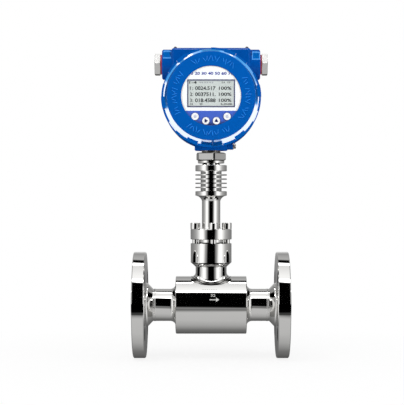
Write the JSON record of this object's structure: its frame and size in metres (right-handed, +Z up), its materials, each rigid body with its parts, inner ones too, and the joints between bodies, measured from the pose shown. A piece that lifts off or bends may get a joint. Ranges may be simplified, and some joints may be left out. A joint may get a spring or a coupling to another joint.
{
  "type": "thermal mass flow meter",
  "caption": "Flanged steel pipe body with a screwed-in thermal probe, finned neck and a blue two-compartment housing that shows a round window over a display and keys.",
  "frame": {"origin": "centre of the inlet flange's bolt circle, in the rim's front face, on the pipe's axis and 2 mm behind the raised face", "axes": "+X along the pipe with the flow, +Z up along the stem to the housing, -Y towards the display"},
  "size_m": [0.208, 0.14, 0.4114],
  "materials": {
    "polished_steel": "mirror-polished stainless steel",
    "plug_steel": "satin nickel-plated steel",
    "blue_paint": "smooth gloss paint on cast aluminium",
    "bare_aluminium": "turned, satin",
    "clear_glass": "toughened flat glass",
    "red_washer": "matte sealing washer",
    "black_rubber": "matte",
    "ceramic": "wound ceramic element, plain",
    "cable_sheath": "matte cable sheath",
    "panel_print": "printed white face with a blue band",
    "dark_frame": "satin",
    "display_glass": "grey-green liquid crystal glass",
    "key_cap": "smooth moulded cap",
    "circuit_board": "satin solder mask",
    "black_plastic": "fine moulded grain",
    "white_plastic": "plain moulded",
    "green_plastic": "moulded",
    "brass": "turned"
  },
  "bodies": {
    "meter": {"meter_body": "polished_steel", "inlet_flange": "polished_steel", "outlet_flange": "polished_steel", "probe_flange": "polished_steel", "probe_gasket": "black_rubber", "probe_seal": "black_rubber", "flange_screws": "polished_steel", "reference_sensor": "polished_steel", "heated_sensor": "polished_steel", "reference_element": "ceramic", "heater_element": "ceramic", "sensor_cable": "cable_sheath", "stem_tube": "polished_steel", "finned_neck": "polished_steel", "neck_nipple": "polished_steel", "lock_nut": "polished_steel", "housing_case": "blue_paint", "front_cover": "blue_paint", "front_cover_seal": "black_rubber", "window_seal": "black_rubber", "window_glass": "clear_glass", "glass_retainer": "bare_aluminium", "rear_cover": "blue_paint", "rear_cover_seal": "black_rubber", "left_plug_washer": "red_washer", "right_plug_washer": "red_washer", "left_plug": "plug_steel", "right_plug": "plug_steel", "earth_screw": "plug_steel", "earth_washer": "plug_steel", "inner_earth_screw": "plug_steel", "top_studs": "blue_paint", "display_panel": "panel_print", "lcd_bezel": "dark_frame", "lcd_module": "display_glass", "display_board": "circuit_board", "main_board": "circuit_board", "key_switches": "black_plastic", "panel_spacers": "white_plastic", "panel_screws": "plug_steel", "upper_standoffs": "brass", "lower_standoffs": "brass", "board_header": "black_plastic", "power_module": "black_plastic", "processor": "black_plastic", "terminal_block": "green_plastic", "terminal_screws": "plug_steel", "feedthrough_bush": "black_plastic"},
    "menu_key_cap": {"menu_key": "key_cap"},
    "shift_key_cap": {"shift_key": "key_cap"},
    "raise_key_cap": {"raise_key": "key_cap"},
    "enter_key_cap": {"enter_key": "key_cap"}
  },
  "joints": [
    {"name": "menu_key_press", "type": "slide", "parent": "meter", "child": "menu_key_cap", "axis": [0, 1, 0], "range_m": [0, 0.0008], "stiffness_N_per_m": 1500, "springref_m": -0.0004},
    {"name": "shift_key_press", "type": "slide", "parent": "meter", "child": "shift_key_cap", "axis": [0, 1, 0], "range_m": [0, 0.0008], "stiffness_N_per_m": 1500, "springref_m": -0.0004},
    {"name": "raise_key_press", "type": "slide", "parent": "meter", "child": "raise_key_cap", "axis": [0, 1, 0], "range_m": [0, 0.0008], "stiffness_N_per_m": 1500, "springref_m": -0.0004},
    {"name": "enter_key_press", "type": "slide", "parent": "meter", "child": "enter_key_cap", "axis": [0, 1, 0], "range_m": [0, 0.0008], "stiffness_N_per_m": 1500, "springref_m": -0.0004}
  ]
}
